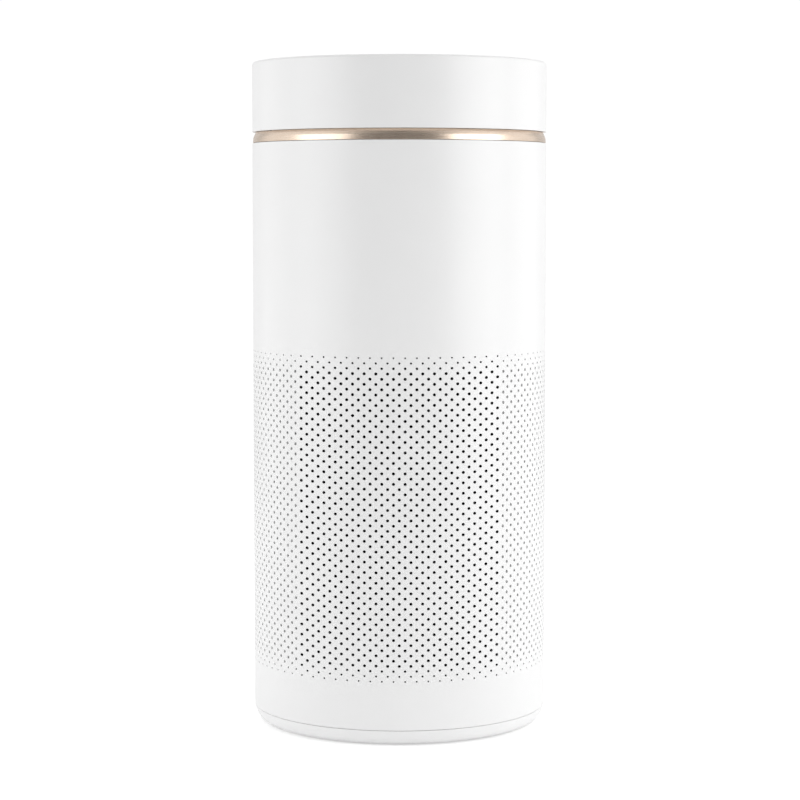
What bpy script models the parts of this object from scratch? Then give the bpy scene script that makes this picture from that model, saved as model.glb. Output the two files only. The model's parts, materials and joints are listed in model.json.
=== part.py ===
"""A round room air purifier, modelled as the assembly it is.

Metres, +Z up. The origin is at the middle of the footprint on the floor. The control side faces -Y and
the filter door is at the rear, +Y. Angles are in degrees round the body, from the front towards +X.

Air goes in through the fine holes of the lower casing, through the filter, up through the fan and its
guide vanes, and out of the ring-shaped grille on top. The fine holes are left out of these solids.
"""

import math

import bmesh
import bpy
from mathutils import Matrix, Vector

# Driving dimensions
BODY_RADIUS = 0.132
HEIGHT = 0.593
WALL = 0.0025
GAP = 0.0003  # between touching pieces
INNER_RADIUS = BODY_RADIUS - WALL
FIT_RADIUS = INNER_RADIUS - 0.0005  # of what stands inside the casing

# Heights of the casing's joints, from the floor up
FOOT_HEIGHT = 0.0012
BASE_TOP = 0.0140
FILTER_DECK_TOP = 0.0446
WINDOW_BOTTOM = 0.0450
WINDOW_TOP = 0.3450
FAN_DECK_BOTTOM = 0.3410
FAN_DECK_TOP = 0.3440
DUCT_TOP = 0.5042
BARREL_TOP = 0.5212
TRIM_BOTTOM = 0.5215
TRIM_TOP = 0.5309
HEAD_BOTTOM = 0.5312
LEDGE_HEIGHT = 0.5775  # the step inside the head that carries the outlet grille

# The base
FEET = {
    "foot_front_left": -45.0,
    "foot_front_right": 45.0,
    "foot_rear_right": 135.0,
    "foot_rear_left": -135.0,
}
FOOT_CIRCLE = 0.1020
FOOT_STEM = 0.0047
FLOOR_TOP = FOOT_HEIGHT + WALL
BASE_SCREWS = {"base_screw_front": 0.0, "base_screw_right": 120.0, "base_screw_left": -120.0}
BASE_SCREW_CIRCLE = 0.0880
BOARD_LOW, BOARD_HIGH = (-0.0450, -0.0300), (0.0450, 0.0300)
BOARD_HEIGHTS = (0.0100, 0.0116)

# The rear door and what holds it
DOOR_HALF_ANGLE = 64.3
SEAM = 0.0004
REAR = 180.0
COLUMN_FROM, COLUMN_TO = 104.0, 112.5
LANDING_TO = 119.0
LANDING_INNER, LANDING_OUTER = 0.1158, 0.1183
MAGNET_FROM, MAGNET_TO = 116.4, 118.9
MAGNET_HEIGHTS = (0.300, 0.325)
PEG_X, PEG_HEIGHT, PEG_RADIUS = 0.1080, 0.0505, 0.0030

# The finger recess above the door
RECESS_HALF_WIDTH = 0.0275
RECESS_HEIGHTS = (0.3350, 0.3660)
RECESS_DEPTH_FROM = 0.1185
CUP_WALL = 0.0030

# The filter
FILTER_RADIUS = 0.0960
FILTER_BORE = 0.0620
MEDIA_HEIGHTS = (0.0553, 0.3187)
FILTER_TOP = 0.3280

# The fan
DUCT_INNER, DUCT_OUTER = 0.1120, 0.1145
WHEEL_RADIUS = 0.0840
EYE_RADIUS = 0.0660
SHAFT_RADIUS = 0.0030
ON_SHAFT = SHAFT_RADIUS + GAP
BLADES = 9
BLADES_BOTTOM = 0.3620
VANES = 7
HUB_INNER, HUB_OUTER = 0.0600, 0.0625
VANES_BOTTOM = 0.4300
VANE_REACH = 0.1108
LEDGE_INNER = 0.1070  # of the ledge in the duct that the vanes stand on
MOTOR_SCREWS = 3
MOTOR_SCREW_CIRCLE = 0.0530

# The outlet grille and the control pod
SLATS = 32
GRILLE_OUTER = 0.1188
GRILLE_INNER = 0.0585
LENS_RADIUS = 0.0310
KEY_CIRCLE = 0.0450
KEY_RADIUS = 0.0068
KEY_ANGLES = {"power_key": -54.0, "speed_key": -18.0, "mode_key": 18.0, "timer_key": 54.0}

# The mains inlet and the wiring
INLET_HALF_WIDTH = 0.0121
INLET_HEIGHTS = (0.0195, 0.0345)
PIN_SPACING = 0.0086
LOOM_ANGLE, LOOM_CIRCLE, LOOM_RADIUS = -98.0, 0.1178, 0.0022
LOOM_CROSSING_HEIGHT = 0.5600

# The dust sensor's opening
SENSOR_HALF_ANGLE = 5.4
SENSOR_HEIGHTS = (0.4050, 0.4370)

OUTER_SIDES = 40
INNER_SIDES = 28
SMALL_SIDES = 12

# Looks: colour, roughness, metallic
WHITE = ((0.90, 0.90, 0.89), 0.30, 0.0)
GREY = ((0.42, 0.43, 0.44), 0.55, 0.0)
DARK = ((0.05, 0.05, 0.055), 0.60, 0.0)
CHAMPAGNE = ((0.80, 0.68, 0.56), 0.28, 1.0)
SMOKED = ((0.015, 0.015, 0.018), 0.10, 0.0)
STEEL = ((0.62, 0.62, 0.63), 0.35, 1.0)
BRASS = ((0.78, 0.62, 0.30), 0.30, 1.0)
RUBBER = ((0.03, 0.03, 0.03), 0.85, 0.0)
PAPER = ((0.88, 0.88, 0.85), 0.95, 0.0)
CARBON = ((0.02, 0.02, 0.02), 0.90, 0.0)
BOARD = ((0.03, 0.22, 0.09), 0.50, 0.0)
COPPER = ((0.72, 0.35, 0.18), 0.35, 1.0)


def clear_scene():
    for obj in list(bpy.data.objects):
        bpy.data.objects.remove(obj)


# Points and outlines


def around(radius, angle, height=0.0):
    """The point at this radius and angle round the body."""
    turn = math.radians(angle)
    return Vector((radius * math.sin(turn), -radius * math.cos(turn), height))


def rounding(centre, radii, start, end, steps):
    """Points along an elliptical corner of an outline, as (radius, height)."""
    points = []
    for step in range(steps + 1):
        turn = math.radians(start + (end - start) * step / steps)
        points.append((centre[0] + radii[0] * math.cos(turn), centre[1] + radii[1] * math.sin(turn)))
    return points


def rectangle(inner, outer, bottom, top):
    return [(inner, bottom), (outer, bottom), (outer, top), (inner, top)]


# Closed shapes, each added to a bmesh


def add_loft(bm, rings, closed=False):
    """Joins rings of points, one after the other, and closes the two ends or the circle."""
    rows = [[bm.verts.new(point) for point in ring] for ring in rings]
    following = rows[1:] + rows[:1] if closed else rows[1:]
    for near, far in zip(rows, following):
        count = len(near)
        for i in range(count):
            j = (i + 1) % count
            bm.faces.new((near[i], near[j], far[j], far[i]))
    if not closed:
        bm.faces.new(rows[0])
        bm.faces.new(rows[-1])


def add_turned(bm, outline, sides):
    """An outline of (radius, height) points turned once round Z."""
    rings = []
    for step in range(sides):
        rings.append([around(radius, 360 * step / sides, height) for radius, height in outline])
    add_loft(bm, rings, closed=True)
    bmesh.ops.remove_doubles(bm, verts=bm.verts, dist=1e-7)
    lone = [edge for edge in bm.edges if not edge.link_faces]
    bmesh.ops.delete(bm, geom=lone, context="EDGES")


def add_sector(bm, outline, start, end, steps):
    """An outline of (radius, height) points turned from one angle to another."""
    rings = []
    for step in range(steps + 1):
        angle = start + (end - start) * step / steps
        rings.append([around(radius, angle, height) for radius, height in outline])
    add_loft(bm, rings)


def add_block(bm, low, high):
    low, high = Vector(low), Vector(high)
    size = high - low
    place = Matrix.Translation((low + high) / 2) @ Matrix.Diagonal((*size, 1.0))
    bmesh.ops.create_cube(bm, size=1.0, matrix=place)


def add_rod(bm, start, end, radius, sides=SMALL_SIDES):
    """A round bar between two points."""
    start, end = Vector(start), Vector(end)
    turn = (end - start).to_track_quat("Z", "Y").to_matrix()
    rings = []
    for middle in (start, end):
        ring = []
        for step in range(sides):
            angle = math.tau * step / sides
            ring.append(middle + turn @ Vector((radius * math.cos(angle), radius * math.sin(angle), 0.0)))
        rings.append(ring)
    add_loft(bm, rings)


def add_plate(bm, outline, bottom, top):
    """A flat outline of (x, y) points, given its height."""
    add_loft(bm, [[(x, y, bottom) for x, y in outline], [(x, y, top) for x, y in outline]])


# Objects


def to_object(name, bm):
    bmesh.ops.recalc_face_normals(bm, faces=bm.faces)
    mesh = bpy.data.meshes.new(name)
    bm.to_mesh(mesh)
    bm.free()
    obj = bpy.data.objects.new(name, mesh)
    bpy.context.scene.collection.objects.link(obj)
    return obj


def piece(name, bm, look):
    """A visible piece, with its own material."""
    obj = to_object(name, bm)
    obj.data.shade_smooth()
    obj.data.set_sharp_from_angle(angle=math.radians(32))
    obj.data.materials.append(material(name, look))
    return obj


def material(name, look):
    colour, roughness, metallic = look
    made = bpy.data.materials.new(name + "_material")
    made.use_nodes = True
    shader = made.node_tree.nodes["Principled BSDF"]
    shader.inputs["Base Color"].default_value = (*colour, 1.0)
    shader.inputs["Roughness"].default_value = roughness
    shader.inputs["Metallic"].default_value = metallic
    return made


def combine(target, name, bm, operation):
    """Joins or cuts a piece with a hidden helper shape."""
    helper = to_object(name, bm)
    helper.hide_render = True
    helper.display_type = "WIRE"
    boolean = target.modifiers.new(name, "BOOLEAN")
    boolean.operation = operation
    boolean.solver = "EXACT"
    boolean.object = helper


def join(target, name, bm):
    combine(target, target.name + "_with_" + name, bm, "UNION")


def cut(target, name, bm):
    combine(target, target.name + "_less_" + name, bm, "DIFFERENCE")


def turned(name, outline, look, sides=INNER_SIDES):
    bm = bmesh.new()
    add_turned(bm, outline, sides)
    return piece(name, bm, look)


def turned_at(name, place, outline, look, sides=SMALL_SIDES):
    """A turned piece on its own upright axis through a place."""
    obj = turned(name, outline, look, sides)
    obj.location = place
    return obj


def hole_down(bm, place, radius, bottom, top, sides=SMALL_SIDES):
    add_rod(bm, (place[0], place[1], bottom), (place[0], place[1], top), radius, sides)


def loom_notch(bm, bottom, top):
    """The way that the wiring takes up past a deck."""
    hole_down(bm, around(LOOM_CIRCLE, LOOM_ANGLE), LOOM_RADIUS + 0.0015, bottom, top)


def loom_crossing(bm, inner, outer):
    """The way that the wiring takes in to the control pod."""
    height = LOOM_CROSSING_HEIGHT
    add_rod(bm, around(inner, LOOM_ANGLE, height), around(outer, LOOM_ANGLE, height), LOOM_RADIUS + 0.0020)


# The base


def base_tray():
    outline = [(0.0, FOOT_HEIGHT), (0.1180, FOOT_HEIGHT)]
    outline += rounding((0.1220, BASE_TOP + 0.0030), (0.0099, BASE_TOP + 0.0030 - FOOT_HEIGHT), -90, -12, 5)
    outline += [(0.1318, BASE_TOP), (FIT_RADIUS, BASE_TOP), (FIT_RADIUS, 0.0190), (0.1267, 0.0190)]
    outline += [(0.1267, 0.0080), (0.1220, FLOOR_TOP), (0.0, FLOOR_TOP)]
    tray = turned("base_tray", outline, WHITE, OUTER_SIDES)
    posts = bmesh.new()
    for x in (BOARD_LOW[0] + 0.005, BOARD_HIGH[0] - 0.005):
        for y in (BOARD_LOW[1] + 0.005, BOARD_HIGH[1] - 0.005):
            hole_down(posts, (x, y), 0.0035, FLOOR_TOP - 0.0005, BOARD_HEIGHTS[0] - GAP, 8)
    for angle in BASE_SCREWS.values():
        hole_down(posts, around(BASE_SCREW_CIRCLE, angle), 0.0065, FLOOR_TOP - 0.0005, 0.0340)
    join(tray, "posts", posts)
    holes = bmesh.new()
    for angle in FEET.values():
        hole_down(holes, around(FOOT_CIRCLE, angle), FOOT_STEM + GAP, -0.001, 0.010)
    for angle in BASE_SCREWS.values():
        place = around(BASE_SCREW_CIRCLE, angle)
        hole_down(holes, place, 0.0022, 0.0100, 0.0360)
        hole_down(holes, place, 0.0042, -0.0010, 0.0098)
    cut(tray, "holes", holes)
    throughs = bmesh.new()
    for angle in BASE_SCREWS.values():
        hole_down(throughs, around(BASE_SCREW_CIRCLE, angle), 0.0022, 0.0090, 0.0110)
    cut(tray, "throughs", throughs)


def feet():
    for name, angle in FEET.items():
        outline = [(0.0, 0.0), (0.0100, 0.0), (0.0110, FOOT_HEIGHT - GAP), (FOOT_STEM, FOOT_HEIGHT - GAP)]
        outline += [(FOOT_STEM, 0.0052), (0.0, 0.0052)]
        turned_at(name, around(FOOT_CIRCLE, angle), outline, RUBBER)


def base_screws():
    for name, angle in BASE_SCREWS.items():
        outline = [(0.0, 0.0070), (0.0038, 0.0070), (0.0038, 0.0095), (0.0018, 0.0095)]
        outline += [(0.0018, 0.0400), (0.0, 0.0400)]
        turned_at(name, around(BASE_SCREW_CIRCLE, angle), outline, STEEL)


def power_board():
    bm = bmesh.new()
    add_block(bm, (*BOARD_LOW, BOARD_HEIGHTS[0]), (*BOARD_HIGH, BOARD_HEIGHTS[1]))
    board = piece("power_board", bm, BOARD)
    parts = bmesh.new()
    sunk = BOARD_HEIGHTS[1] - 0.0004
    add_block(parts, (-0.012, -0.012, sunk), (0.014, 0.012, 0.0300))
    add_block(parts, (0.022, -0.022, sunk), (0.026, 0.018, 0.0320))
    add_block(parts, (-0.034, -0.024, sunk), (-0.018, -0.016, 0.0200))
    hole_down(parts, (-0.028, 0.008), 0.0080, sunk, 0.0340)
    hole_down(parts, (0.036, 0.014), 0.0050, sunk, 0.0240)
    join(board, "parts", parts)


def power_inlet():
    bottom, top = INLET_HEIGHTS
    bm = bmesh.new()
    add_block(bm, (-INLET_HALF_WIDTH, 0.1040, bottom), (INLET_HALF_WIDTH, 0.1310, top))
    inlet = piece("power_inlet", bm, DARK)
    pocket = bmesh.new()
    add_block(pocket, (-0.0104, 0.1110, bottom + 0.0015), (0.0104, 0.1330, top - 0.0015))
    cut(inlet, "pocket", pocket)
    for name, x in (("inlet_pin_left", -PIN_SPACING / 2), ("inlet_pin_right", PIN_SPACING / 2)):
        middle = (bottom + top) / 2
        pin = bmesh.new()
        add_rod(pin, (x, 0.1113, middle), (x, 0.1250, middle), 0.0012)
        piece(name, pin, BRASS)


# The casing


def outer_barrel():
    wall = rectangle(INNER_RADIUS, BODY_RADIUS, BASE_TOP + GAP, BARREL_TOP)
    barrel = turned("outer_barrel", wall, WHITE, OUTER_SIDES)
    window = bmesh.new()
    edge = rectangle(0.1250, 0.1400, WINDOW_BOTTOM, WINDOW_TOP)
    add_sector(window, edge, REAR - DOOR_HALF_ANGLE, REAR + DOOR_HALF_ANGLE, 24)
    cut(barrel, "window", window)
    openings = bmesh.new()
    side = RECESS_HALF_WIDTH
    add_block(openings, (-side, 0.110, WINDOW_TOP - 0.004), (side, 0.140, RECESS_HEIGHTS[1]))
    side = INLET_HALF_WIDTH + SEAM
    add_block(openings, (-side, 0.110, INLET_HEIGHTS[0] - SEAM), (side, 0.140, INLET_HEIGHTS[1] + SEAM))
    edge = rectangle(0.1250, 0.1400, *SENSOR_HEIGHTS)
    add_sector(openings, edge, REAR - SENSOR_HALF_ANGLE, REAR + SENSOR_HALF_ANGLE, 4)
    cut(barrel, "openings", openings)


def columns():
    """The two posts beside the door, each with a landing that the door closes on."""
    for name, keeper, side in (("column_right", "keeper_right", 1), ("column_left", "keeper_left", -1)):
        post = bmesh.new()
        outline = rectangle(0.1170, 0.1285, FILTER_DECK_TOP + GAP, FAN_DECK_BOTTOM - GAP)
        add_sector(post, outline, side * COLUMN_FROM, side * COLUMN_TO, 2)
        column = piece(name, post, GREY)
        landing = bmesh.new()
        outline = rectangle(LANDING_INNER, LANDING_OUTER, 0.0620, 0.3300)
        add_sector(landing, outline, side * (COLUMN_FROM + 0.5), side * LANDING_TO, 3)
        join(column, "landing", landing)
        plate = bmesh.new()
        outline = rectangle(LANDING_OUTER + GAP, LANDING_OUTER + 0.0012, *MAGNET_HEIGHTS)
        add_sector(plate, outline, side * MAGNET_FROM, side * MAGNET_TO, 1)
        piece(keeper, plate, STEEL)


def finger_cup():
    """The shell behind the recess: fingers reach in above the door and hook down behind its top edge."""
    bottom, top = RECESS_HEIGHTS
    side = RECESS_HALF_WIDTH + CUP_WALL
    back = RECESS_DEPTH_FROM - CUP_WALL
    bm = bmesh.new()
    half_angle = math.degrees(math.asin(side / FIT_RADIUS))
    arc = [around(FIT_RADIUS, REAR - half_angle + 2 * half_angle * step / 8) for step in range(9)]
    outline = [(point.x, point.y) for point in arc] + [(-side, back), (side, back)]
    add_plate(bm, outline, bottom - CUP_WALL, top + CUP_WALL)
    cup = piece("finger_cup", bm, WHITE)
    pocket = bmesh.new()
    add_block(pocket, (-RECESS_HALF_WIDTH, RECESS_DEPTH_FROM, bottom), (RECESS_HALF_WIDTH, 0.140, top))
    cut(cup, "pocket", pocket)


def dust_sensor():
    bm = bmesh.new()
    add_block(bm, (-0.0170, 0.1163, 0.3980), (0.0170, 0.1265, 0.4440))
    piece("particle_sensor", bm, DARK)
    cover = bmesh.new()
    seam = math.degrees(SEAM / BODY_RADIUS)
    half_angle = SENSOR_HALF_ANGLE - seam
    outline = rectangle(INNER_RADIUS + GAP, BODY_RADIUS, SENSOR_HEIGHTS[0] + SEAM, SENSOR_HEIGHTS[1] - SEAM)
    add_sector(cover, outline, REAR - half_angle, REAR + half_angle, 4)
    grille = piece("sensor_grille", cover, WHITE)
    slots = bmesh.new()
    for row in range(5):
        low = SENSOR_HEIGHTS[0] + 0.0050 + 0.0048 * row
        add_block(slots, (-0.0090, 0.1200, low), (0.0090, 0.1400, low + 0.0024))
    cut(grille, "slots", slots)


def trim_ring():
    """A metal band: its face stands up from the casing and leans in under the head."""
    face = [(0.1315, TRIM_BOTTOM), (0.1312, TRIM_BOTTOM + 0.0038)]
    face += rounding((0.1262, TRIM_BOTTOM + 0.0034), (0.0050, 0.0050), 6, 25, 3)
    face += [(0.1289, TRIM_TOP)]
    turned("trim_ring", face + [(0.1213, TRIM_TOP), (0.1213, TRIM_BOTTOM)], CHAMPAGNE, OUTER_SIDES)


def head_frame():
    """The inner tube of the head, with the flange that carries the trim and the casing's top."""
    outline = [(DUCT_INNER, DUCT_TOP + GAP), (DUCT_OUTER, DUCT_TOP + GAP), (DUCT_OUTER, 0.5165)]
    outline += [(FIT_RADIUS, 0.5165), (FIT_RADIUS, 0.5210), (DUCT_OUTER, 0.5210)]
    outline += [(DUCT_OUTER, 0.5747), (DUCT_INNER, 0.5747)]
    frame = turned("head_frame", outline, GREY)
    ways = bmesh.new()
    loom_notch(ways, 0.5100, 0.5230)
    loom_crossing(ways, 0.1090, 0.1180)
    cut(frame, "ways", ways)


def head_ring():
    """The plain white head: an outer wall, a rounded rim and an inner wall with the grille's ledge."""
    outline = [(BODY_RADIUS, HEAD_BOTTOM)]
    outline += rounding((BODY_RADIUS - 0.0025, HEIGHT - 0.0025), (0.0025, 0.0025), 0, 90, 3)
    outline += rounding((0.1220, HEIGHT - 0.0020), (0.0020, 0.0020), 90, 180, 2)
    outline += [(0.1193, LEDGE_HEIGHT), (0.1150, LEDGE_HEIGHT), (0.1150, LEDGE_HEIGHT - WALL)]
    outline += [(0.1216, LEDGE_HEIGHT - WALL), (0.1224, HEIGHT - 0.0028), (0.1290, HEIGHT - 0.0028)]
    outline += [(0.1290, HEAD_BOTTOM)]
    turned("head_ring", outline, WHITE, OUTER_SIDES)


def outlet_grille():
    bottom, top = LEDGE_HEIGHT + 0.0004, LEDGE_HEIGHT + 0.0065
    grille = turned("outlet_grille", rectangle(0.1135, GRILLE_OUTER, bottom, top), WHITE, OUTER_SIDES)
    hub = bmesh.new()
    add_turned(hub, rectangle(GRILLE_INNER, GRILLE_INNER + 0.0030, bottom, top), INNER_SIDES)
    slats = bmesh.new()
    for index in range(SLATS):
        middle = 360 * (index + 0.5) / SLATS
        outward = around(1.0, middle)
        across = Vector((-outward.y, outward.x, 0.0)) * 0.0008
        near, far = outward * (GRILLE_INNER + 0.0015), outward * 0.1150
        outline = [near - across, far - across, far + across, near + across]
        add_plate(slats, [(point.x, point.y) for point in outline], bottom + 0.0004, top - 0.0004)
    join(grille, "slats", slats)
    join(grille, "hub", hub)


def control_pod():
    outline = [(0.0, 0.5480), (0.0520, 0.5480), (0.0565, 0.5525), (0.0565, 0.5745), (0.0615, 0.5745)]
    outline += [(0.0615, LEDGE_HEIGHT + 0.0001), (0.0540, LEDGE_HEIGHT + 0.0001), (0.0540, 0.5535)]
    outline += [(0.0510, 0.5505), (0.0, 0.5505)]
    pod = turned("control_pod", outline, WHITE)
    way = bmesh.new()
    loom_crossing(way, 0.0500, 0.0600)
    cut(pod, "way", way)


def control_panel():
    """The white plate round the display, with a hole for each key."""
    outline = [(LENS_RADIUS + GAP, 0.5870), (0.0572, 0.5870), (0.0582, 0.5860), (0.0582, 0.5785)]
    outline += [(0.0560, 0.5785), (0.0560, 0.5844), (LENS_RADIUS + GAP, 0.5844)]
    panel = turned("control_panel", outline, WHITE)
    holes = bmesh.new()
    for angle in KEY_ANGLES.values():
        hole_down(holes, around(KEY_CIRCLE, angle), KEY_RADIUS + 0.0005, 0.5800, 0.5900, 16)
    cut(panel, "key_holes", holes)


def display_lens():
    outline = [(0.0, 0.5836), (LENS_RADIUS, 0.5836), (LENS_RADIUS, 0.5868), (0.0300, 0.5874), (0.0, 0.5876)]
    turned("display_lens", outline, SMOKED)


def control_board():
    """The board, its display module and the four switches under the keys."""
    outline = [(0.0, 0.5660), (0.0520, 0.5660), (0.0520, 0.5676), (0.0, 0.5676)]
    board = turned("control_board", outline, BOARD)
    parts = bmesh.new()
    add_block(parts, (-0.0180, -0.0180, 0.5672), (0.0180, 0.0180, 0.5800))
    for angle in KEY_ANGLES.values():
        x, y, _ = around(KEY_CIRCLE, angle)
        add_block(parts, (x - 0.003, y - 0.003, 0.5672), (x + 0.003, y + 0.003, 0.5710))
    join(board, "parts", parts)


def keys():
    """Round push keys: a cap in the panel, a collar that holds it in, and a stem down to its switch."""
    for name, angle in KEY_ANGLES.items():
        outline = [(0.0, 0.5719), (0.0020, 0.5719), (0.0020, 0.5810), (0.0083, 0.5810), (0.0083, 0.5830)]
        outline += [(KEY_RADIUS, 0.5830), (KEY_RADIUS, 0.5878), (KEY_RADIUS - 0.0008, 0.5884), (0.0, 0.5886)]
        turned_at(name, around(KEY_CIRCLE, angle), outline, WHITE, 16)


# The filter compartment


def filter_deck():
    """The floor of the filter space, with the rails that guide the filter and the door pegs' sockets."""
    outline = [(0.0, 0.0420), (0.1267, 0.0420), (0.1267, 0.0370), (FIT_RADIUS, 0.0370)]
    outline += [(FIT_RADIUS, FILTER_DECK_TOP), (0.0, FILTER_DECK_TOP)]
    deck = turned("filter_deck", outline, GREY)
    fittings = bmesh.new()
    sunk = FILTER_DECK_TOP - 0.0005
    for side in (-1, 1):
        rail = sorted((side * 0.0980, side * 0.1005))
        add_block(fittings, (rail[0], -0.0400, sunk), (rail[1], 0.0480, 0.0520))
        socket = sorted((side * (PEG_X - 0.0055), side * (PEG_X + 0.0055)))
        add_block(fittings, (socket[0], 0.0480, sunk), (socket[1], 0.0600, PEG_HEIGHT + 0.0055))
    for angle in BASE_SCREWS.values():
        hole_down(fittings, around(BASE_SCREW_CIRCLE, angle), 0.0055, 0.0345, 0.0425)
    join(deck, "fittings", fittings)
    holes = bmesh.new()
    loom_notch(holes, 0.0300, 0.0500)
    for side in (-1, 1):
        x = side * PEG_X
        add_rod(holes, (x, 0.0450, PEG_HEIGHT), (x, 0.0650, PEG_HEIGHT), PEG_RADIUS + 0.0004)
    for angle in BASE_SCREWS.values():
        hole_down(holes, around(BASE_SCREW_CIRCLE, angle), 0.0021, 0.0300, 0.0410)
    cut(deck, "holes", holes)


def rear_door():
    """The curved rear panel. It pulls straight off: two pegs below, two magnets above."""
    seam = math.degrees(SEAM / BODY_RADIUS)
    half_angle = DOOR_HALF_ANGLE - seam
    shell = bmesh.new()
    outline = rectangle(INNER_RADIUS, BODY_RADIUS, WINDOW_BOTTOM + SEAM, WINDOW_TOP - SEAM)
    add_sector(shell, outline, REAR - half_angle, REAR + half_angle, 24)
    door = piece("rear_door", shell, WHITE)
    fittings = bmesh.new()
    for side in (-1, 1):
        outline = rectangle(0.1253, INNER_RADIUS + 0.0008, *MAGNET_HEIGHTS)
        add_sector(fittings, outline, side * MAGNET_FROM, side * MAGNET_TO, 1)
        x = side * PEG_X
        add_rod(fittings, (x, 0.0500, PEG_HEIGHT), (x, 0.0725, PEG_HEIGHT), PEG_RADIUS)
    join(door, "fittings", fittings)
    for name, side in (("door_magnet_right", 1), ("door_magnet_left", -1)):
        magnet = bmesh.new()
        outline = rectangle(0.1200, 0.1250, MAGNET_HEIGHTS[0] + 0.001, MAGNET_HEIGHTS[1] - 0.001)
        add_sector(magnet, outline, side * MAGNET_FROM, side * MAGNET_TO, 1)
        piece(name, magnet, STEEL)


def filter_cartridge():
    low, high = MEDIA_HEIGHTS
    outline = [(0.0, 0.0450), (FILTER_RADIUS, 0.0450), (FILTER_RADIUS, low - GAP), (0.0, low - GAP)]
    turned("filter_bottom_cap", outline, DARK)
    turned("carbon_sleeve", rectangle(0.0660, 0.0720, low, high), CARBON)
    turned("hepa_media", rectangle(0.0723, 0.0945, low, high), PAPER)
    turned("prefilter_mesh", rectangle(0.0948, FILTER_RADIUS, low, high), DARK)
    cap = turned("filter_top_cap", rectangle(FILTER_BORE, FILTER_RADIUS, high + GAP, FILTER_TOP), DARK)
    tab = bmesh.new()
    add_block(tab, (-0.0200, 0.0900, 0.3205), (0.0200, 0.1100, 0.3245))
    join(cap, "pull_loop", tab)
    hole = bmesh.new()
    add_block(hole, (-0.0150, 0.0980, 0.3100), (0.0150, 0.1060, 0.3300))
    cut(cap, "loop_hole", hole)
    turned("filter_seal", rectangle(0.0660, 0.0800, FILTER_TOP + GAP, 0.3306), RUBBER)


# The fan


def fan_deck():
    """The plate over the filter, with a collar down to the filter's seal and a bell mouth up to the wheel."""
    outline = [(FIT_RADIUS, FAN_DECK_BOTTOM), (FIT_RADIUS, FAN_DECK_TOP), (0.0800, FAN_DECK_TOP)]
    outline += rounding((0.0800, 0.3540), (0.0100, 0.0100), 270, 180, 2)
    outline += [(0.0700, 0.3560), (0.0677, 0.3560), (0.0677, 0.3500), (0.0705, 0.3440), (0.0705, 0.3312)]
    outline += [(0.0730, 0.3312), (0.0730, FAN_DECK_BOTTOM)]
    deck = turned("fan_deck", outline, GREY)
    ways = bmesh.new()
    loom_notch(ways, 0.3350, 0.3500)
    side = RECESS_HALF_WIDTH + CUP_WALL + SEAM
    add_block(ways, (-side, RECESS_DEPTH_FROM - CUP_WALL - SEAM, 0.3350), (side, 0.1400, 0.3500))
    cut(deck, "ways", ways)


def inlet_guard():
    """A ring grating in the bell mouth that keeps fingers off the wheel."""
    guard = turned("inlet_guard", rectangle(0.0645, 0.0673, 0.3505, 0.3530), DARK)
    rings = bmesh.new()
    for inner in (0.0240, 0.0440):
        add_turned(rings, rectangle(inner, inner + 0.0016, 0.3507, 0.3528), 24)
    spokes = bmesh.new()
    for step in range(6):
        outward = around(1.0, 60 * step)
        across = Vector((-outward.y, outward.x, 0.0)) * 0.0009
        near, far = outward * 0.0060, outward * 0.0655
        outline = [near - across, far - across, far + across, near + across]
        add_plate(spokes, [(point.x, point.y) for point in outline], 0.3509, 0.3526)
    disc = bmesh.new()
    add_turned(disc, [(0.0, 0.3507), (0.0090, 0.3507), (0.0090, 0.3528), (0.0, 0.3528)], SMALL_SIDES)
    join(guard, "spokes", spokes)
    join(guard, "rings", rings)
    join(guard, "disc", disc)


def blade_outline(inner, outer, start, sweep, thickness, steps):
    """A swept blade seen from above: out along one side and back along the other."""
    sides = []
    for offset in (-thickness / 2, thickness / 2):
        side = []
        for step in range(steps + 1):
            part = step / steps
            radius = inner + (outer - inner) * part
            angle = start - sweep * part ** 0.8 + math.degrees(offset / radius)
            point = around(radius, angle)
            side.append((point.x, point.y))
        sides.append(side)
    return sides[0] + sides[1][::-1]


def impeller():
    """A backward-curved wheel: the back plate with its hub and blades, and the eye ring below them."""
    outline = [(ON_SHAFT, 0.3840), (0.0090, 0.3840), (0.0100, 0.4020), (0.0140, 0.4055)]
    outline += [(WHEEL_RADIUS, 0.4055), (WHEEL_RADIUS, 0.4080), (ON_SHAFT, 0.4080)]
    wheel = turned("impeller", outline, DARK)
    blades = bmesh.new()
    for index in range(BLADES):
        start = 360 * index / BLADES
        add_plate(blades, blade_outline(0.0500, 0.0832, start, 42, 0.0018, 5), BLADES_BOTTOM, 0.4065)
    join(wheel, "blades", blades)
    outline = [(EYE_RADIUS, 0.3574), (0.0730, 0.3595), (WHEEL_RADIUS, 0.3600)]
    outline += [(WHEEL_RADIUS, BLADES_BOTTOM - GAP), (0.0725, 0.3612), (EYE_RADIUS, 0.3592)]
    turned("impeller_shroud", outline, DARK)


def fan_drive():
    """The shaft, the outer rotor and the nut that turn with the wheel."""
    outline = [(0.0, 0.3770), (SHAFT_RADIUS, 0.3770), (SHAFT_RADIUS, 0.4480), (0.0, 0.4480)]
    turned("fan_shaft", outline, STEEL, SMALL_SIDES)
    outline = [(ON_SHAFT, 0.4096), (0.0325, 0.4096), (0.0325, 0.4440), (0.0302, 0.4440)]
    turned("rotor_cup", outline + [(0.0302, 0.4120), (ON_SHAFT, 0.4120)], STEEL)
    nut = turned("fan_nut", [(0.0, 0.3790), (0.0070, 0.3790), (0.0070, 0.3837), (0.0, 0.3837)], STEEL, 6)
    bore = bmesh.new()
    hole_down(bore, (0.0, 0.0), ON_SHAFT, 0.3780, 0.3850)
    cut(nut, "bore", bore)


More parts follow.
